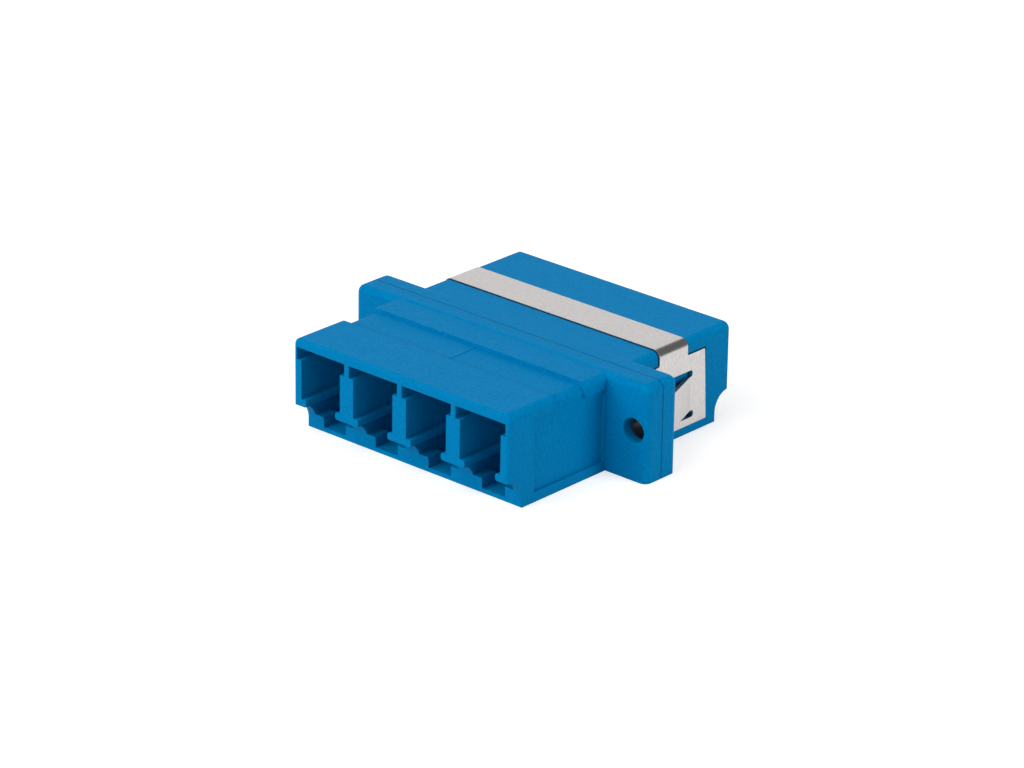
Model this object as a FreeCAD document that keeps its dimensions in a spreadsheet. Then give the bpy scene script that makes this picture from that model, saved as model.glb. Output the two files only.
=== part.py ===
import FreeCAD, Part
import os
import Sketcher
from FreeCAD import Placement, Rotation, Vector

# Four-port LC fibre adapter with a duplex-SC outline, modelled in millimetres.
# X runs across the four ports, Y along the fibres, Z up.  The origin lies on the
# bottom, in the middle of the weld seam that joins the two identical mouldings.

doc = FreeCAD.newDocument("lc_fibre_adapter")

# ---------------------------------------------------------------- driving sizes
SIZES = {
    # ports
    "port_count": 4,
    "port_pitch": 6.25,
    "port_width": 4.65,
    "port_height": 4.78,
    "corner_relief_step": 0.525,
    "corner_relief_height": 1.15,
    "corner_relief_length": 3.2,
    "rail_gap": 3.5,
    "rail_height": 0.7,
    "rail_round": 0.22,
    "ear_channel_height": 1.27,
    "latch_slot_width": 2.65,
    "latch_slot_height": 1.0,
    "latch_shoulder_length": 1.75,
    "latch_pocket_length": 3.0,
    # shell
    "half_length": 14.56,
    "end_wall": 0.9,
    "floor_thickness": 0.4,
    "roof_thickness": 0.85,
    "mouth_edge_round": 0.28,
    "body_top_round": 0.66,
    "lower_setback": 1.8,
    # flange
    "flange_half": 2.0,
    "flange_reach": 4.62,
    "flange_rise": 0.1,
    "flange_edge_round": 0.66,
    "flange_corner_inner": 0.14,
    "screw_inset": 1.57,
    "screw_rise": 0.1,
    "screw_hole_chamfer": 0.08,
    # bushes in the screw holes
    "bush_bore": 2.1,
    "bush_wall": 0.15,
    "bush_length": 1.7,
    "bush_clearance": 0.03,
    # seat of the clip, cut into both halves
    "groove_start": 4.75,
    "groove_width": 4.05,
    "groove_depth": 0.3,
    "groove_round": 0.8,
    "witness_step": 0.04,
    "leg_seat_rib": 0.25,
    "leg_seat_margin": 1.5,
    "leg_seat_bottom": 0.93,
    "leg_seat_drop": 1.35,
    # spring clip
    "clip_gauge": 0.36,
    "clip_lift": 0.04,
    "clip_play": 0.12,
    "clip_bend": 0.45,
    "leg_splay": 0.3,
    "tab_bottom": 2.33,
    "tab_top": 5.47,
    "tab_slit": 0.6,
    "tab_margin": 1.7,
    "panel_space": 1.5,
    "tab_angle": 20.5,
    "tab_bend": 0.5,
    "clip_corner_round": 0.15,
    # sleeve holders and sleeves
    "web_half": 2.0,
    "holder_reach": 4.6,
    "holder_wall": 0.6,
    "holder_lip": 1.2,
    "holder_lip_gap": 0.1,
    "sleeve_bore": 1.25,
    "sleeve_wall": 0.185,
    "sleeve_float": 0.1,
    "sleeve_slit": 0.2,
    "sleeve_play": 0.09,
}

sheet = doc.addObject("Spreadsheet::Sheet", "Sizes")
for row, (alias, number) in enumerate(SIZES.items(), start=1):
    sheet.set("A%d" % row, alias)
    sheet.set("B%d" % row, str(number))
    sheet.setAlias("B%d" % row, alias)
doc.recompute()

# ---------------------------------------------------------------- derived sizes
# Each is an expression over the sheet's cells; the later ones build on the earlier ones.
DERIVED = {
    "port_span": "(port_count - 1) * port_pitch",
    "corner_relief_width": "port_width + 2 * corner_relief_step",
    "body_half": "port_span / 2 + port_width / 2 + end_wall",
    "slot_top": "floor_thickness + latch_slot_height",
    "rail_bottom": "slot_top + ear_channel_height",
    "rail_top": "rail_bottom + rail_height",
    "roof_underside": "rail_top + port_height",
    "relief_bottom": "roof_underside - corner_relief_height",
    "body_top": "roof_underside + roof_thickness",
    "fibre_height": "rail_top + port_height / 2",
    "setback_plane": "half_length - lower_setback",
    "flange_half_width": "body_half + flange_reach",
    "flange_top": "body_top + flange_rise",
    "flange_corner_round": "flange_edge_round + flange_corner_inner",
    "screw_x": "flange_half_width - screw_inset",
    "screw_z": "flange_top / 2 + screw_rise",
    "screw_hole_width": "bush_bore + bush_wall",
    "bush_outside": "bush_bore + 2 * bush_wall",
    "bush_seat_width": "bush_outside + 2 * bush_clearance",
    "bush_seat_depth": "bush_length / 2 + bush_clearance",
    "groove_end": "groove_start + groove_width",
    "groove_floor": "body_top - groove_depth",
    "groove_side": "body_half - groove_depth",
    "leg_seat_start": "flange_half + leg_seat_rib",
    "leg_seat_end": "setback_plane - leg_seat_margin",
    "leg_seat_top": "body_top - leg_seat_drop",
    "clip_inside": "groove_side + clip_lift",
    "clip_outside": "clip_inside + clip_gauge",
    "clip_underside": "groove_floor + clip_lift",
    "clip_top": "clip_underside + clip_gauge",
    "clip_start": "groove_start + clip_play",
    "clip_end": "groove_end - clip_play",
    "leg_start": "leg_seat_start + clip_play",
    "leg_end": "leg_seat_end - 2 * clip_play",
    "leg_bottom": "leg_seat_bottom + clip_play",
    "leg_top": "leg_seat_top - clip_play / 2",
    "foot_inside": "clip_inside + leg_splay",
    "foot_outside": "clip_outside + leg_splay",
    "leg_slope": "leg_splay / (leg_top - leg_bottom)",
    "window_bottom": "tab_bottom - tab_slit",
    "window_top": "tab_top + tab_slit",
    "slit_end": "leg_end - tab_margin",
    "tab_root": "slit_end - tab_slit / 2",
    "tab_outer": "clip_outside + (leg_top - tab_bottom) * leg_slope",
    "tab_tip": "flange_half + panel_space",
    "slit_round": "tab_slit * 0.47",
    "sleeve_outside": "sleeve_bore + 2 * sleeve_wall",
    "holder_bore": "sleeve_outside + 2 * sleeve_play",
    "holder_outside": "holder_bore + 2 * holder_wall",
    "holder_seat": "holder_reach - holder_lip",
    "holder_lip_bore": "sleeve_bore + 2 * holder_lip_gap",
    "sleeve_length": "2 * (holder_seat - sleeve_float)",
}


def expanded(text):
    """Spell out a size expression in cells of the sheet."""
    words = []
    word = ""
    for letter in text + " ":
        if letter.isalnum() or letter == "_":
            word += letter
            continue
        if word in DERIVED:
            words.append("(" + expanded(DERIVED[word]) + ")")
        elif word in SIZES:
            words.append("Sizes." + word)
        else:
            words.append(word)
        word = ""
        words.append(letter)
    return "".join(words).strip()


def value(text):
    """Number that a size expression has now."""
    return float(sheet.evalExpression(expanded(text).replace("Sizes.", "")))


# ---------------------------------------------------------------- drawing helpers
def near(a, b):
    return abs(a - b) < 1e-4


def origin_plane(body, role):
    """Origin plane of a body, found by its role."""
    for feature in body.Origin.OriginFeatures:
        if feature.Role == role:
            return feature
    raise ValueError(role)


def new_sketch(body, name, role, offset="0"):
    """Sketch on an origin plane of the body, moved along the plane's normal."""
    sketch = body.newObject("Sketcher::SketchObject", name)
    sketch.AttachmentSupport = [(origin_plane(body, role), "")]
    sketch.MapMode = "FlatFace"
    if offset != "0":
        sketch.setExpression("AttachmentOffset.Base.z", expanded(offset))
    return sketch


def bind(sketch, kind, members, text):
    """Add a dimension to a sketch and tie it to the sheet."""
    number = value(text)
    if kind == "Angle":
        number = FreeCAD.Units.Quantity(number, FreeCAD.Units.Angle).getValueAs("rad")
    index = sketch.addConstraint(Sketcher.Constraint(kind, *members, number))
    degrees = "(%s) * 1 deg" if kind == "Angle" else "%s"
    sketch.setExpression("Constraints[%d]" % index, degrees % expanded(text))


def outline(sketch, corners):
    """Closed outline, mostly of horizontal and vertical lines.

    Each corner is (x, y) or (x, y, radius), in expressions; a radius rounds the corner.
    A slanted line lies between sharp corners and has a horizontal or vertical line on either side.
    """
    places = [Vector(value(c[0]), value(c[1]), 0) for c in corners]
    radii = [value(c[2]) if len(c) > 2 else 0.0 for c in corners]
    count = len(corners)
    lines = []
    slanted = []
    for i, start in enumerate(places):
        end = places[(i + 1) % count]
        along = (end - start).normalize()
        first = start + along * radii[i]
        last = end - along * radii[(i + 1) % count]
        lines.append(sketch.addGeometry(Part.LineSegment(first, last), False))
        if min(abs(along.x), abs(along.y)) > 1e-9:
            slanted.append(i)
            continue
        upright = abs(along.x) < 0.5
        sketch.addConstraint(Sketcher.Constraint("Vertical" if upright else "Horizontal", lines[i]))
        axis, coordinate = ("DistanceX", 0) if upright else ("DistanceY", 1)
        bind(sketch, axis, (-1, 1, lines[i], 1), corners[i][coordinate])
    for i in slanted:
        for corner, point, neighbour in ((i, 1, i - 1), ((i + 1) % count, 2, (i + 1) % count)):
            level = near(places[neighbour].y, places[(neighbour + 1) % count].y)
            axis, coordinate = ("DistanceX", 0) if level else ("DistanceY", 1)
            bind(sketch, axis, (-1, 1, lines[i], point), corners[corner][coordinate])
    for i in range(count):
        before = lines[i - 1]
        after = lines[i]
        if not radii[i]:
            sketch.addConstraint(Sketcher.Constraint("Coincident", before, 2, after, 1))
            continue
        inward = (places[i - 1] - places[i]).normalize()
        onward = (places[(i + 1) % count] - places[i]).normalize()
        centre = places[i] + (inward + onward) * radii[i]
        middle = centre - (inward + onward).normalize() * radii[i]
        arc = Part.Arc(places[i] + inward * radii[i], middle, places[i] + onward * radii[i])
        number = sketch.addGeometry(arc, False)
        turns_left = inward.cross(onward).z < 0
        entry, leave = (1, 2) if turns_left else (2, 1)
        sketch.addConstraint(Sketcher.Constraint("Tangent", before, 2, number, entry))
        sketch.addConstraint(Sketcher.Constraint("Tangent", number, leave, after, 1))
        bind(sketch, "Radius", (number,), corners[i][2])


def circle(sketch, x, y, diameter):
    """Circle placed from the sketch origin."""
    shape = Part.Circle(Vector(value(x), value(y), 0), Vector(0, 0, 1), value(diameter) / 2)
    number = sketch.addGeometry(shape, False)
    bind(sketch, "DistanceX", (-1, 1, number, 3), x)
    bind(sketch, "DistanceY", (-1, 1, number, 3), y)
    bind(sketch, "Diameter", (number,), diameter)


def pad(body, name, sketch, length, midplane=False, slope=None):
    """Material added along the sketch's normal, to both sides of it, or leaning against X."""
    feature = body.newObject("PartDesign::Pad", name)
    feature.Profile = sketch
    feature.setExpression("Length", expanded(length))
    if slope:
        feature.UseCustomVector = True
        feature.Direction = Vector(-value(slope), 0, 1)
        feature.AlongSketchNormal = True
        feature.setExpression("Direction.x", expanded("-(%s)" % slope))
    if midplane:
        feature.SideType = "Symmetric"
    doc.recompute()
    return feature


def pocket(body, name, sketch, length, outward=True, midplane=False):
    """Material cut along the sketch's normal (outward), against it, or to both sides."""
    feature = body.newObject("PartDesign::Pocket", name)
    feature.Profile = sketch
    feature.setExpression("Length", expanded(length))
    if midplane:
        feature.SideType = "Symmetric"
    else:
        feature.Reversed = outward
    before = feature.BaseFeature.Shape.Volume
    doc.recompute()
    if feature.Shape.Volume >= before - 1e-6:
        raise ValueError("pocket %s cuts nothing" % name)
    return feature


def edges_where(shape, test):
    """Names of the edges whose middle point passes a test."""
    names = []
    for number, edge in enumerate(shape.Edges, start=1):
        middle = edge.valueAt((edge.FirstParameter + edge.LastParameter) / 2)
        if test(edge, middle):
            names.append("Edge%d" % number)
    return names


def dress(body, kind, name, base, names, size):
    """Fillet or chamfer on named edges of the last feature."""
    feature = body.newObject("PartDesign::" + kind, name)
    feature.Base = (base, names)
    feature.setExpression("Radius" if kind == "Fillet" else "Size", expanded(size))
    doc.recompute()
    return feature


# ---------------------------------------------------------------- one half of the housing
def add_flange(body):
    """Half of the flange, its outer face rounded at the sides and the top."""
    sketch = new_sketch(body, body.Name + "_flange_outline", "XZ_Plane")
    outline(sketch, [
        ("-flange_half_width", "0"),
        ("flange_half_width", "0"),
        ("flange_half_width", "flange_top", "flange_corner_round"),
        ("-flange_half_width", "flange_top", "flange_corner_round"),
    ])
    plate = pad(body, body.Name + "_flange", sketch, "flange_half")
    face = -value("flange_half")
    names = edges_where(plate.Shape, lambda edge, middle: near(middle.y, face) and middle.z > 0.01)
    dress(body, "Fillet", body.Name + "_flange_rounding", plate, names, "flange_edge_round")


def add_shell(body):
    """Block that carries the ports, its end rounded along the sides and the roof."""
    sketch = new_sketch(body, body.Name + "_block_outline", "XZ_Plane")
    outline(sketch, [
        ("-body_half", "0"),
        ("body_half", "0"),
        ("body_half", "body_top", "body_top_round"),
        ("-body_half", "body_top", "body_top_round"),
    ])
    block = pad(body, body.Name + "_block", sketch, "half_length")
    face = -value("half_length")
    names = edges_where(block.Shape, lambda edge, middle: near(middle.y, face) and middle.z > 0.01)
    dress(body, "Fillet", body.Name + "_mouth_rounding", block, names, "mouth_edge_round")


def cut_setback(body):
    """Concave set-back under the rails, seen from the side."""
    sketch = new_sketch(body, body.Name + "_setback_profile", "YZ_Plane")
    reach = value("half_length")
    depth = value("lower_setback")
    foot = value("rail_bottom")
    slope = 2 ** -0.5
    below = Vector(-reach + depth, 0, 0)
    centre = Vector(-reach, foot - depth, 0)
    arc = Part.Arc(centre + Vector(depth, 0, 0), centre + Vector(slope, slope, 0) * depth,
                   centre + Vector(0, depth, 0))
    sketch.addGeometry(Part.LineSegment(Vector(-reach, 0, 0), below), False)
    sketch.addGeometry(Part.LineSegment(below, centre + Vector(depth, 0, 0)), False)
    sketch.addGeometry(arc, False)
    sketch.addGeometry(Part.LineSegment(centre + Vector(0, depth, 0), Vector(-reach, 0, 0)), False)
    for first, end, second, start in ((0, 2, 1, 1), (2, 2, 3, 1), (3, 2, 0, 1)):
        sketch.addConstraint(Sketcher.Constraint("Coincident", first, end, second, start))
    sketch.addConstraint(Sketcher.Constraint("Tangent", 1, 2, 2, 1))
    sketch.addConstraint(Sketcher.Constraint("PointOnObject", 0, 1, -1))
    sketch.addConstraint(Sketcher.Constraint("Horizontal", 0))
    sketch.addConstraint(Sketcher.Constraint("Vertical", 1))
    sketch.addConstraint(Sketcher.Constraint("Vertical", 3))
    sketch.addConstraint(Sketcher.Constraint("PointOnObject", 2, 3, 3))
    bind(sketch, "DistanceX", (-1, 1, 0, 1), "-half_length")
    bind(sketch, "DistanceY", (-1, 1, 2, 3), "rail_bottom - lower_setback")
    bind(sketch, "Radius", (2,), "lower_setback")
    pocket(body, body.Name + "_setback", sketch, "2 * flange_half_width", midplane=True)


def cut_clip_seat(body):
    """Groove over the top and down the sides, and the wider seat of the clip's leg."""
    band = new_sketch(body, body.Name + "_groove_section", "XZ_Plane", "groove_start")
    outline(band, [
        ("groove_side", "leg_seat_top - groove_depth"),
        ("body_half + flange_reach", "leg_seat_top - groove_depth"),
        ("body_half + flange_reach", "flange_top + flange_reach"),
        ("-body_half - flange_reach", "flange_top + flange_reach"),
        ("-body_half - flange_reach", "leg_seat_top - groove_depth"),
        ("-groove_side", "leg_seat_top - groove_depth"),
        ("-groove_side", "groove_floor", "groove_round"),
        ("groove_side", "groove_floor", "groove_round"),
    ])
    pocket(body, body.Name + "_groove", band, "groove_width")

    step = new_sketch(body, body.Name + "_witness_section", "XZ_Plane", "groove_start")
    outline(step, [
        ("0", "groove_floor - witness_step"),
        ("groove_side - groove_round", "groove_floor - witness_step"),
        ("groove_side - groove_round", "body_top"),
        ("0", "body_top"),
    ])
    pocket(body, body.Name + "_witness_line", step, "groove_width")

    leg = new_sketch(body, body.Name + "_leg_seat_outline", "YZ_Plane", "groove_side")
    outline(leg, [
        ("-leg_seat_end", "leg_seat_bottom"),
        ("-leg_seat_start", "leg_seat_bottom"),
        ("-leg_seat_start", "leg_seat_top"),
        ("-leg_seat_end", "leg_seat_top"),
    ])
    seat = pocket(body, body.Name + "_leg_seat", leg, "groove_depth * 2")
    mirrored = body.newObject("PartDesign::Mirrored", body.Name + "_leg_seats")
    mirrored.Originals = [seat]
    mirrored.MirrorPlane = (origin_plane(body, "YZ_Plane"), [""])
    body.Tip = mirrored
    doc.recompute()


def port_outline(sketch):
    """Mouth of the first port: plug opening, rails, channel for the latch ears, latch slot."""
    middle = "-port_span / 2"
    right = [
        ("latch_slot_width", "floor_thickness"),
        ("latch_slot_width", "slot_top"),
        ("port_width", "slot_top"),
        ("port_width", "rail_bottom"),
        ("rail_gap", "rail_bottom", "rail_round"),
        ("rail_gap", "rail_top", "rail_round"),
        ("port_width", "rail_top"),
        ("port_width", "roof_underside"),
    ]
    corners = [("%s + (%s) / 2" % (middle, c[0]),) + c[1:] for c in right]
    corners += [("%s - (%s) / 2" % (middle, c[0]),) + c[1:] for c in reversed(right)]
    outline(sketch, corners)


def cut_ports(body):
    """Four ports from the web outward, each round a holder tube for a ferrule sleeve."""
    middle = "-port_span / 2"
    mouth = new_sketch(body, body.Name + "_port_outline", "XZ_Plane", "web_half")
    port_outline(mouth)
    cavity = pocket(body, body.Name + "_port", mouth, "half_length")

    relief = new_sketch(body, body.Name + "_corner_relief_outline", "XZ_Plane",
                        "half_length - corner_relief_length")
    outline(relief, [
        (middle + " - corner_relief_width / 2", "relief_bottom"),
        (middle + " + corner_relief_width / 2", "relief_bottom"),
        (middle + " + corner_relief_width / 2", "roof_underside"),
        (middle + " - corner_relief_width / 2", "roof_underside"),
    ])
    corners = pocket(body, body.Name + "_corner_relief", relief, "corner_relief_length")

    ears = new_sketch(body, body.Name + "_latch_pocket_outline", "XZ_Plane",
                      "setback_plane - latch_shoulder_length - latch_pocket_length")
    outline(ears, [
        (middle + " - port_width / 2", "floor_thickness"),
        (middle + " + port_width / 2", "floor_thickness"),
        (middle + " + port_width / 2", "rail_bottom"),
        (middle + " - port_width / 2", "rail_bottom"),
    ])
    catch = pocket(body, body.Name + "_latch_pocket", ears, "latch_pocket_length")

    ring = new_sketch(body, body.Name + "_holder_outline", "XZ_Plane")
    circle(ring, middle, "fibre_height", "holder_outside")
    holder = pad(body, body.Name + "_holder", ring, "holder_reach")

    seat = new_sketch(body, body.Name + "_holder_seat_outline", "XZ_Plane")
    circle(seat, middle, "fibre_height", "holder_bore")
    bore = pocket(body, body.Name + "_holder_seat", seat, "holder_seat")

    lip = new_sketch(body, body.Name + "_holder_lip_outline", "XZ_Plane")
    circle(lip, middle, "fibre_height", "holder_lip_bore")
    entry = pocket(body, body.Name + "_holder_lip", lip, "half_length")
    return [cavity, corners, catch, holder, bore, entry]


def repeat_ports(body, originals):
    """The other ports, at the port pitch."""
    pattern = body.newObject("PartDesign::LinearPattern", body.Name + "_ports")
    pattern.Originals = originals
    pattern.Direction = (originals[0].Profile[0], ["H_Axis"])
    pattern.setExpression("Length", expanded("port_span"))
    pattern.setExpression("Occurrences", expanded("port_count"))
    body.Tip = pattern
    doc.recompute()


def cut_screw_holes(body):
    """Screw holes through the flange and the bush seats at the seam."""
    holes = new_sketch(body, body.Name + "_screw_hole_outline", "XZ_Plane")
    seats = new_sketch(body, body.Name + "_bush_seat_outline", "XZ_Plane")
    for side in ("-", ""):
        circle(holes, side + "screw_x", "screw_z", "screw_hole_width")
        circle(seats, side + "screw_x", "screw_z", "bush_seat_width")
    through = pocket(body, body.Name + "_screw_holes", holes, "2 * flange_half")
    face = -value("flange_half")
    width = value("screw_hole_width")
    rims = edges_where(through.Shape, lambda edge, point: near(point.y, face)
                       and abs(point.x) > value("screw_x") - width
                       and edge.Curve.TypeId == "Part::GeomCircle"
                       and near(edge.Curve.Radius, width / 2))
    dress(body, "Chamfer", body.Name + "_screw_hole_chamfer", through, rims, "screw_hole_chamfer")
    pocket(body, body.Name + "_bush_seats", seats, "bush_seat_depth")


def make_housing(name, turned):
    """One half of the housing; the rear half is the same moulding turned about Z."""
    body = doc.addObject("PartDesign::Body", name)
    body.Label = name
    add_flange(body)
    add_shell(body)
    cut_setback(body)
    cut_clip_seat(body)
    cut_screw_holes(body)
    repeat_ports(body, cut_ports(body))
    angle = 180 if turned else 0
    body.Placement = Placement(Vector(0, 0, 0), Rotation(Vector(0, 0, 1), angle))
    return body


# ---------------------------------------------------------------- spring clip
def fold_strip(body):
    """The strip folded over the top and down both sides, the legs splayed a little below."""
    sketch = new_sketch(body, "clip_section", "XZ_Plane", "-leg_end")
    outline(sketch, [
        ("foot_inside", "leg_bottom"),
        ("foot_outside", "leg_bottom"),
        ("clip_outside", "leg_top"),
        ("clip_outside", "clip_top", "clip_bend + clip_gauge"),
        ("-clip_outside", "clip_top", "clip_bend + clip_gauge"),
        ("-clip_outside", "leg_top"),
        ("-foot_outside", "leg_bottom"),
        ("-foot_inside", "leg_bottom"),
        ("-clip_inside", "leg_top"),
        ("-clip_inside", "clip_underside", "clip_bend"),
        ("clip_inside", "clip_underside", "clip_bend"),
        ("clip_inside", "leg_top"),
    ])
    return pad(body, "folded_strip", sketch, "leg_end - leg_start")


def trim_legs(body):
    """The strip is narrow over the top and widens to a T on each leg."""
    for name, inner, outer in (("front", "0", "clip_start"), ("back", "half_length", "clip_end")):
        sketch = new_sketch(body, "clip_trim_" + name, "YZ_Plane")
        outline(sketch, [
            (inner, "leg_top"),
            (outer, "leg_top", "clip_corner_round"),
            (outer, "flange_top + flange_reach"),
            (inner, "flange_top + flange_reach"),
        ])
        trimmed = pocket(body, "strip_trimmed_" + name, sketch, "2 * flange_half_width", midplane=True)
    ends = (value("leg_start"), value("leg_end"))
    levels = (value("leg_bottom"), value("leg_top"))
    names = edges_where(trimmed.Shape, lambda edge, point:
                        (near(point.z, levels[0]) or near(point.z, levels[1]))
                        and (near(point.y, ends[0]) or near(point.y, ends[1]))
                        and edge.Length < 2 * value("clip_gauge"))
    dress(body, "Fillet", "clip_leg_corners", trimmed, names, "clip_corner_round")


def cut_window(body):
    """Window round the tab: two slits with round ends, open at the leg's front edge."""
    sketch = new_sketch(body, "tab_window", "YZ_Plane")
    outline(sketch, [
        ("0", "window_bottom"),
        ("slit_end", "window_bottom", "slit_round"),
        ("slit_end", "tab_bottom", "slit_round"),
        ("tab_root", "tab_bottom"),
        ("tab_root", "tab_top"),
        ("slit_end", "tab_top", "slit_round"),
        ("slit_end", "window_top", "slit_round"),
        ("0", "window_top"),
    ])
    pocket(body, "tab_windows", sketch, "2 * flange_half_width", midplane=True)


def bend_tab(body):
    """Tab bent outward from the leg and as slanted as the leg, its free end towards the flange."""
    sketch = new_sketch(body, "tab_section", "XY_Plane", "tab_bottom")
    outer_x = value("tab_outer")
    root = value("tab_root")
    bend = value("tab_bend")
    gauge = value("clip_gauge")
    turn = Rotation(Vector(0, 0, 1), value("tab_angle"))
    half_turn = Rotation(Vector(0, 0, 1), value("tab_angle") / 2)
    centre = Vector(outer_x + bend, root, 0)
    heading = turn.multVec(Vector(0, -1, 0))
    points = {}
    for side, size in (("outer", bend), ("inner", bend + gauge)):
        start = centre - Vector(size, 0, 0)
        middle = centre + half_turn.multVec(Vector(-size, 0, 0))
        end = centre + turn.multVec(Vector(-size, 0, 0))
        points[side] = end
        sketch.addGeometry(Part.Arc(start, middle, end), False)
    reach = heading * ((value("tab_tip") - points["outer"].y) / heading.y)
    sketch.addGeometry(Part.LineSegment(points["outer"], points["outer"] + reach), False)
    sketch.addGeometry(Part.LineSegment(points["inner"], points["inner"] + reach), False)
    sketch.addGeometry(Part.LineSegment(points["outer"] + reach, points["inner"] + reach), False)
    sketch.addGeometry(Part.LineSegment(centre - Vector(bend, 0, 0),
                                        centre - Vector(bend + gauge, 0, 0)), False)
    outer_arc, inner_arc, outer_side, inner_side, tip, joint = range(6)
    sketch.addConstraint(Sketcher.Constraint("Coincident", outer_arc, 3, inner_arc, 3))
    sketch.addConstraint(Sketcher.Constraint("Tangent", outer_arc, 2, outer_side, 1))
    sketch.addConstraint(Sketcher.Constraint("Tangent", inner_arc, 2, inner_side, 1))
    sketch.addConstraint(Sketcher.Constraint("Coincident", outer_side, 2, tip, 1))
    sketch.addConstraint(Sketcher.Constraint("Coincident", inner_side, 2, tip, 2))
    sketch.addConstraint(Sketcher.Constraint("Coincident", outer_arc, 1, joint, 1))
    sketch.addConstraint(Sketcher.Constraint("Coincident", inner_arc, 1, joint, 2))
    sketch.addConstraint(Sketcher.Constraint("Horizontal", joint))
    sketch.addConstraint(Sketcher.Constraint("Horizontal", outer_arc, 3, outer_arc, 1))
    sketch.addConstraint(Sketcher.Constraint("Perpendicular", outer_side, tip))
    sketch.addConstraint(Sketcher.Constraint("Parallel", outer_side, inner_side))
    bind(sketch, "DistanceX", (-1, 1, outer_arc, 1), "tab_outer")
    bind(sketch, "DistanceY", (-1, 1, outer_arc, 1), "tab_root")
    bind(sketch, "DistanceX", (joint, 2, joint, 1), "clip_gauge")
    bind(sketch, "Radius", (outer_arc,), "tab_bend")
    bind(sketch, "DistanceY", (-1, 1, outer_side, 2), "tab_tip")
    bind(sketch, "Angle", (outer_side,), "tab_angle - 90")
    tab = pad(body, "tab", sketch, "tab_top - tab_bottom", slope="leg_slope")
    pair = body.newObject("PartDesign::Mirrored", "tabs")
    pair.Originals = [tab]
    pair.MirrorPlane = (origin_plane(body, "YZ_Plane"), [""])
    body.Tip = pair
    doc.recompute()


def make_clip():
    body = doc.addObject("PartDesign::Body", "spring_clip")
    body.Label = "spring_clip"
    fold_strip(body)
    trim_legs(body)
    cut_window(body)
    bend_tab(body)
    return body


# ---------------------------------------------------------------- sleeves and bushes
def make_tube(name, bore, outside, length):
    """Short tube about the Y axis, centred on its own origin."""
    body = doc.addObject("PartDesign::Body", name)
    body.Label = name
    sketch = new_sketch(body, name + "_section", "XZ_Plane")
    circle(sketch, "0", "0", outside)
    circle(sketch, "0", "0", bore)
    pad(body, name + "_tube", sketch, length, midplane=True)
    return body


def make_sleeve(number):
    """Split ferrule sleeve, its slit on top."""
    name = "ferrule_sleeve_%d" % number
    body = make_tube(name, "sleeve_bore", "sleeve_outside", "sleeve_length")
    sketch = new_sketch(body, name + "_slit_outline", "XZ_Plane")
    outline(sketch, [
        ("-sleeve_slit / 2", "0"),
        ("sleeve_slit / 2", "0"),
        ("sleeve_slit / 2", "sleeve_outside"),
        ("-sleeve_slit / 2", "sleeve_outside"),
    ])
    pocket(body, name + "_slit", sketch, "2 * sleeve_length", midplane=True)
    across = "(%d - 1) * port_pitch - port_span / 2" % number
    body.setExpression("Placement.Base.x", expanded(across))
    body.setExpression("Placement.Base.z", expanded("fibre_height"))
    return body


def make_bush(name, side):
    """Metal bush in a screw hole, trapped between the two halves of the flange."""
    body = make_tube(name, "bush_bore", "bush_outside", "bush_length")
    body.setExpression("Placement.Base.x", expanded(side + "screw_x"))
    body.setExpression("Placement.Base.z", expanded("screw_z"))
    return body


# ---------------------------------------------------------------- the whole adapter
pieces = [make_housing("front_housing", False), make_housing("rear_housing", True), make_clip()]
for port in range(1, SIZES["port_count"] + 1):
    pieces.append(make_sleeve(port))
pieces.append(make_bush("flange_bush_left", "-"))
pieces.append(make_bush("flange_bush_right", ""))
doc.recompute()

for item in doc.Objects:
    if "Invalid" in item.State or "Error" in item.State:
        raise ValueError("%s failed: %s" % (item.Name, item.State))
    if item.TypeId == "Sketcher::SketchObject" and not item.FullyConstrained:
        raise ValueError("%s is not fully constrained" % item.Name)
for piece in pieces:
    if piece.Shape.isNull() or not piece.Shape.isValid() or len(piece.Shape.Solids) != 1:
        raise ValueError("%s is not one valid solid" % piece.Label)

os.makedirs("parts", exist_ok=True)
for piece in pieces:
    piece.Shape.exportStep("parts/%s.step" % piece.Label)
    box = piece.Shape.BoundBox
    print("%-20s volume %8.2f  x %.2f..%.2f  y %.2f..%.2f  z %.2f..%.2f" % (
        piece.Label, piece.Shape.Volume, box.XMin, box.XMax, box.YMin, box.YMax, box.ZMin, box.ZMax))
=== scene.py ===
import math

import bpy
from mathutils import Matrix, Vector


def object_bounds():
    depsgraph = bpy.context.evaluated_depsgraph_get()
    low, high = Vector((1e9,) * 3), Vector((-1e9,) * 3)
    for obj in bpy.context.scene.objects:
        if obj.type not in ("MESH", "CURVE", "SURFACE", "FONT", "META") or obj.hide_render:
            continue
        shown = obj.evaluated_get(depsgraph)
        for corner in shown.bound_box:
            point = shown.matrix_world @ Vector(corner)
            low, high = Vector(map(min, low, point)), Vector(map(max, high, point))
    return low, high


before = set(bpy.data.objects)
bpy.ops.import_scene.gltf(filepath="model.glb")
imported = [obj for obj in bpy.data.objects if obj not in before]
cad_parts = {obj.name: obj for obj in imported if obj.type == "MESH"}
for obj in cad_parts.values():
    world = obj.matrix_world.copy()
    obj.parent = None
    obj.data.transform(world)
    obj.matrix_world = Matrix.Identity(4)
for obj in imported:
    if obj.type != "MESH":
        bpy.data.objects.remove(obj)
cad_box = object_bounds()

MM = 0.001

# The camera of the photograph. Azimuth is measured from the front towards the right, elevation upwards.
CAMERA_AZIMUTH = 41.636
CAMERA_ELEVATION = 22.972
CAMERA_ROLL = 0.880
CAMERA_PLACE = (0.251146, -0.282588, 0.164049)
CAMERA_NEAREST = 0.01
SENSOR_WIDTH = 36
LENS = 164.16

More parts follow.
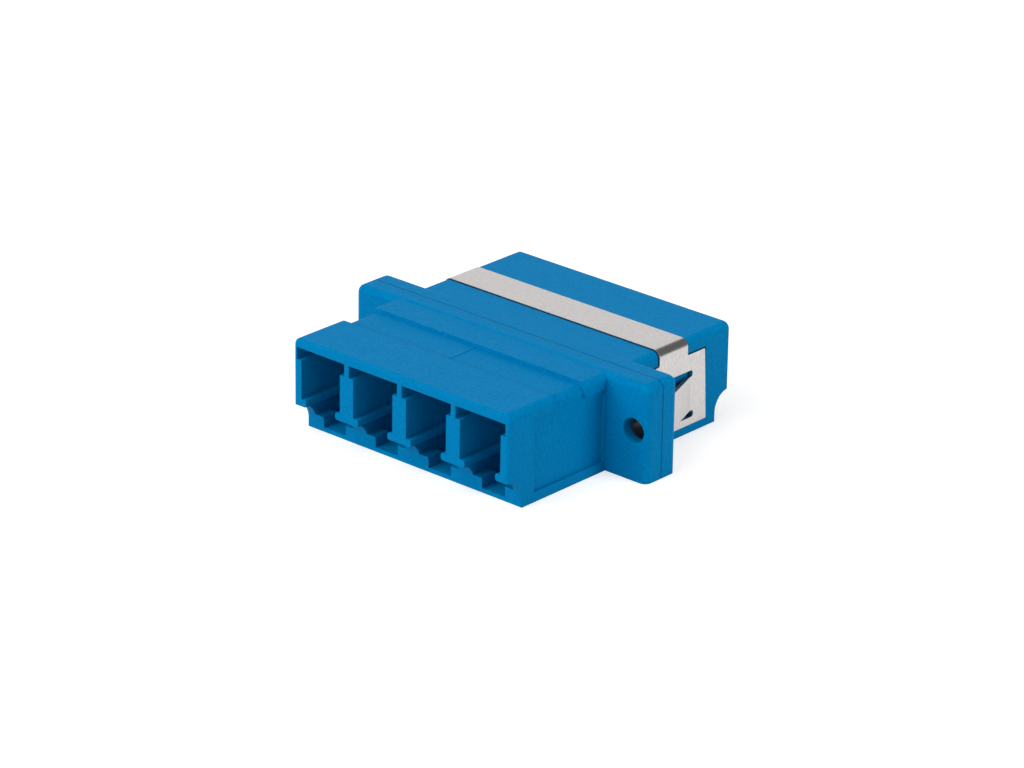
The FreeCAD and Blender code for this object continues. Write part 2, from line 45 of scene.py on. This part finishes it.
# Lamps: name, azimuth, elevation, and share of LAMP_POWER (watts). All shine at the middle of the object.
LAMP_DISTANCE = 0.45
LAMP_SIZE = 0.2
LAMP_POWER = 6.36
LAMPS = [
    ("right", 110, 25, 0.16),
    ("front_left", -25, 25, 0.125),
    ("back", 180, 10, 0.12),
    ("front", 10, 25, 0.11),
    ("right_front", 75, 25, 0.042),
    ("upper_left", -25, 55, 0.08),
    ("top", 0, 85, 0.055),
    ("back_left", -120, 40, 0.031),
    ("left", -60, 25, 0.025),
]

# What metal mirrors: white all round, and a dark card round this direction, which shades the clip's bend.
# Each stop is the cosine of the angle from that direction, and how bright it is there.
DARK_CARD_WAY = (0.39, 0.69, 0.61)
DARK_CARD = [(0.7, 1.0), (0.82, 0.16)]

FLOOR_SIZE = 2.0
FLOOR_GAP = 0.02 * MM
# How bright the floor looks where no lamp reaches it.
FLOOR_LIFT = 0.58

# Half the width of the painted shade line where the two mouldings meet.
SEAM_REACH = 0.09 * MM

# Sockets of a Mix node for colours, which share their names with those for numbers.
MIX_FIRST, MIX_SECOND, MIX_RESULT = 6, 7, 2

low, high = [Vector(corner) for corner in cad_box]
middle = (low + high) / 2


# ---------------------------------------------------------------- node helpers
def grey(level):
    return (level, level, level)


def srgb(red, green, blue):
    """Linear colour from the 0-255 values seen on a screen."""
    return tuple((c / 255 / 12.92) if c <= 10 else ((c / 255 + 0.055) / 1.055) ** 2.4
                 for c in (red, green, blue))


def set_stops(ramp, stops):
    """Gives a new colour ramp its two (position, colour) stops."""
    for element, (position, colour) in zip(ramp.color_ramp.elements, stops):
        element.position = position
        element.color = (*colour, 1.0)


class Shader:
    """One node material with a Principled surface."""

    def __init__(self, name):
        self.material = bpy.data.materials.new(name)
        self.material.use_nodes = True
        self.tree = self.material.node_tree
        self.tree.nodes.clear()
        self.output = self.add("ShaderNodeOutputMaterial")
        self.surface = self.add("ShaderNodeBsdfPrincipled")
        self.link(self.surface, "BSDF", self.output, "Surface")
        self.place = self.add("ShaderNodeTexCoord")

    def add(self, kind, **settings):
        node = self.tree.nodes.new(kind)
        for key, setting in settings.items():
            setattr(node, key, setting)
        return node

    def link(self, source, out, target, into):
        self.tree.links.new(source.outputs[out], target.inputs[into])

    def constant(self, socket, setting):
        """A setting that is the same all over the surface."""
        self.surface.inputs[socket].default_value = setting

    def noise(self, cells, detail, roughness=0.5):
        """Noise with this many cells to the metre along X, Y and Z."""
        mapping = self.add("ShaderNodeMapping")
        mapping.inputs["Scale"].default_value = cells
        self.link(self.place, "Object", mapping, "Vector")
        node = self.add("ShaderNodeTexNoise")
        node.inputs["Scale"].default_value = 1.0
        node.inputs["Detail"].default_value = detail
        node.inputs["Roughness"].default_value = roughness
        self.link(mapping, "Vector", node, "Vector")
        return node

    def ramp(self, source, out, stops):
        node = self.add("ShaderNodeValToRGB")
        set_stops(node, stops)
        self.link(source, out, node, "Fac")
        return node

    def spread_roughness(self, source, smoothest, roughest):
        """Roughness that follows a noise."""
        node = self.add("ShaderNodeMapRange")
        node.inputs["To Min"].default_value = smoothest
        node.inputs["To Max"].default_value = roughest
        self.link(source, "Fac", node, "Value")
        self.link(node, "Result", self.surface, "Roughness")

    def bump(self, source, depth, strength, edge_radius):
        """Bumps that follow a noise, on top of softened edges."""
        bevel = self.add("ShaderNodeBevel", samples=6)
        bevel.inputs["Radius"].default_value = edge_radius
        bump = self.add("ShaderNodeBump")
        bump.inputs["Distance"].default_value = depth
        bump.inputs["Strength"].default_value = strength
        self.link(source, "Fac", bump, "Height")
        self.link(bevel, "Normal", bump, "Normal")
        self.link(bump, "Normal", self.surface, "Normal")

    def distance_from_seam(self):
        """How far a point is from the plane where the two mouldings meet: 1 is SEAM_REACH."""
        split = self.add("ShaderNodeSeparateXYZ")
        self.link(self.place, "Object", split, "Vector")
        away = self.add("ShaderNodeMath", operation="ABSOLUTE")
        self.link(split, "Y", away, 0)
        share = self.add("ShaderNodeMath", operation="DIVIDE")
        share.inputs[1].default_value = SEAM_REACH
        self.link(away, "Value", share, 0)
        return share

    def multiplied(self, first, second):
        """Product of the colours of two nodes."""
        node = self.add("ShaderNodeMix", data_type="RGBA", blend_type="MULTIPLY")
        node.inputs["Factor"].default_value = 1.0
        self.link(first, "Color", node, MIX_FIRST)
        self.link(second, "Color", node, MIX_SECOND)
        return node


# ---------------------------------------------------------------- materials
def moulded_plastic():
    """Blue PBT with the fine spark-eroded texture of the mould, and a darker line of painted shade along
    the seam, standing in for the shadow in the groove between the two mouldings.
    """
    shader = Shader("moulded_blue_plastic")
    speckle = shader.noise((3500, 3500, 3500), 4, 0.6)
    colour = shader.ramp(speckle, "Fac", [(0.3, srgb(0, 109, 165)), (0.7, srgb(0, 125, 180))])
    # Painted shade: the colour is darkened along the seam, where the groove between the mouldings would
    # lie in shadow.
    seam_shade = shader.ramp(shader.distance_from_seam(), "Value", [(0.3, grey(0.45)), (1.0, grey(1.0))])
    shader.link(shader.multiplied(colour, seam_shade), MIX_RESULT, shader.surface, "Base Color")
    shader.constant("Specular IOR Level", 0.03)
    shader.constant("Specular Tint", (0.1, 0.7, 1.0, 1.0))
    grain = shader.noise((9000, 9000, 9000), 2)
    shader.spread_roughness(grain, 0.42, 0.54)
    shader.bump(grain, 0.01 * MM, 0.5, 0.09 * MM)
    return shader.material


def rolled_steel():
    """Satin spring steel with short, fine marks along the strip."""
    shader = Shader("brushed_spring_steel")
    marks = shader.noise((2500, 12000, 2500), 4, 0.6)
    colour = shader.ramp(marks, "Fac", [(0.3, srgb(184, 181, 180)), (0.7, srgb(211, 208, 206))])
    shader.link(colour, "Color", shader.surface, "Base Color")
    shader.constant("Metallic", 1.0)
    shader.spread_roughness(marks, 0.24, 0.34)
    shader.bump(marks, 0.008 * MM, 0.3, 0.04 * MM)
    return shader.material


def zirconia():
    """White ceramic, ground smooth."""
    shader = Shader("white_ceramic")
    cloud = shader.noise((900, 900, 900), 2)
    colour = shader.ramp(cloud, "Fac", [(0.3, srgb(232, 230, 222)), (0.7, srgb(242, 241, 235))])
    shader.link(colour, "Color", shader.surface, "Base Color")
    shader.spread_roughness(cloud, 0.12, 0.2)
    shader.constant("Subsurface Weight", 0.1)
    shader.constant("Subsurface Scale", 0.2 * MM)
    return shader.material


def turned_metal():
    """Turned metal with rings left by the tool, across the axis of the bush. Its dark colour is partly
    the metal's own and partly painted shade, standing in for the shadow deep inside the screw hole.
    """
    shader = Shader("turned_metal")
    rings = shader.noise((300, 22000, 300), 3)
    # Dark base colour: partly the metal's own, partly painted shade for the inside of the screw hole.
    colour = shader.ramp(rings, "Fac", [(0.3, srgb(70, 72, 76)), (0.7, srgb(105, 106, 108))])
    shader.link(colour, "Color", shader.surface, "Base Color")
    shader.constant("Metallic", 1.0)
    shader.spread_roughness(rings, 0.3, 0.45)
    shader.bump(rings, 0.008 * MM, 0.4, 0.03 * MM)
    return shader.material


def paint(word, material):
    """Gives the material to every CAD node with the word in its name."""
    for name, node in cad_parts.items():
        if word in name:
            node.data.materials.clear()
            node.data.materials.append(material)


# ---------------------------------------------------------------- floor, light and camera
def way(azimuth, elevation):
    """Direction from the object, as a unit vector."""
    azimuth, elevation = math.radians(azimuth), math.radians(elevation)
    return Vector((math.sin(azimuth) * math.cos(elevation), -math.cos(azimuth) * math.cos(elevation),
                   math.sin(elevation)))


def seen_rays(tree):
    """1 for rays that come from the camera, a mirror or through glass, 0 for rays that carry light."""
    rays = tree.nodes.new("ShaderNodeLightPath")
    seen = rays.outputs["Is Camera Ray"]
    for kind in ("Is Glossy Ray", "Is Transmission Ray"):
        either = tree.nodes.new("ShaderNodeMath")
        either.operation = "MAXIMUM"
        tree.links.new(seen, either.inputs[0])
        tree.links.new(rays.outputs[kind], either.inputs[1])
        seen = either.outputs["Value"]
    return seen


def white_floor():
    """White ground that keeps the soft shadow and shows white to the camera and in mirrors."""
    bpy.ops.mesh.primitive_plane_add(size=FLOOR_SIZE, location=(0, 0, low.z - FLOOR_GAP))
    floor = bpy.context.object
    floor.name = "floor"
    shader = Shader("white_floor")
    cloud = shader.noise((3, 3, 3), 2)
    colour = shader.ramp(cloud, "Fac", [(0.3, grey(0.58)), (0.7, grey(0.62))])
    shader.link(colour, "Color", shader.surface, "Base Color")
    shader.constant("Roughness", 0.9)
    shader.constant("Emission Color", (1, 1, 1, 1))
    lift = shader.add("ShaderNodeMath", operation="MULTIPLY")
    lift.inputs[1].default_value = FLOOR_LIFT
    shader.tree.links.new(seen_rays(shader.tree), lift.inputs[0])
    shader.link(lift, "Value", shader.surface, "Emission Strength")
    floor.data.materials.append(shader.material)


def white_world():
    """Surroundings that are seen and mirrored but light nothing: white, with a dark card up behind."""
    world = bpy.data.worlds.new("studio")
    bpy.context.scene.world = world
    world.use_nodes = True
    tree = world.node_tree
    background = tree.nodes["Background"]
    place = tree.nodes.new("ShaderNodeTexCoord")
    nearness = tree.nodes.new("ShaderNodeVectorMath")
    nearness.operation = "DOT_PRODUCT"
    nearness.inputs[1].default_value = DARK_CARD_WAY
    card = tree.nodes.new("ShaderNodeValToRGB")
    set_stops(card, [(cosine, grey(level)) for cosine, level in DARK_CARD])
    tree.links.new(place.outputs["Generated"], nearness.inputs[0])
    tree.links.new(nearness.outputs["Value"], card.inputs["Fac"])
    tree.links.new(card.outputs["Color"], background.inputs["Color"])
    tree.links.new(seen_rays(tree), background.inputs["Strength"])


def soft_box(name, azimuth, elevation, share):
    """Square lamp that lights surfaces but isn't mirrored in them."""
    light = bpy.data.lights.new(name, "AREA")
    light.shape = "SQUARE"
    light.size = LAMP_SIZE
    light.energy = LAMP_POWER * share
    lamp = bpy.data.objects.new(name, light)
    lamp.location = LAMP_DISTANCE * way(azimuth, elevation)
    lamp.rotation_euler = (middle - lamp.location).to_track_quat("-Z", "Y").to_euler()
    lamp.visible_glossy = False
    bpy.context.collection.objects.link(lamp)


def photo_camera():
    """Long lens, from the front right and a little above."""
    roll = math.radians(CAMERA_ROLL)
    back = way(CAMERA_AZIMUTH, CAMERA_ELEVATION)
    right = (-back).cross(Vector((0, 0, 1))).normalized()
    up = right.cross(-back)
    across = math.cos(roll) * right + math.sin(roll) * up
    upright = -math.sin(roll) * right + math.cos(roll) * up
    data = bpy.data.cameras.new("camera")
    data.sensor_width = SENSOR_WIDTH
    data.lens = LENS
    data.clip_start = CAMERA_NEAREST
    camera = bpy.data.objects.new("camera", data)
    bpy.context.collection.objects.link(camera)
    turn = Matrix((across, upright, back)).transposed().to_4x4()
    camera.matrix_world = Matrix.Translation(CAMERA_PLACE) @ turn
    bpy.context.scene.camera = camera


paint("housing", moulded_plastic())
paint("clip", rolled_steel())
paint("sleeve", zirconia())
paint("bush", turned_metal())

white_floor()
white_world()
for lamp_settings in LAMPS:
    soft_box(*lamp_settings)
photo_camera()
bpy.context.scene.view_settings.view_transform = "Standard"
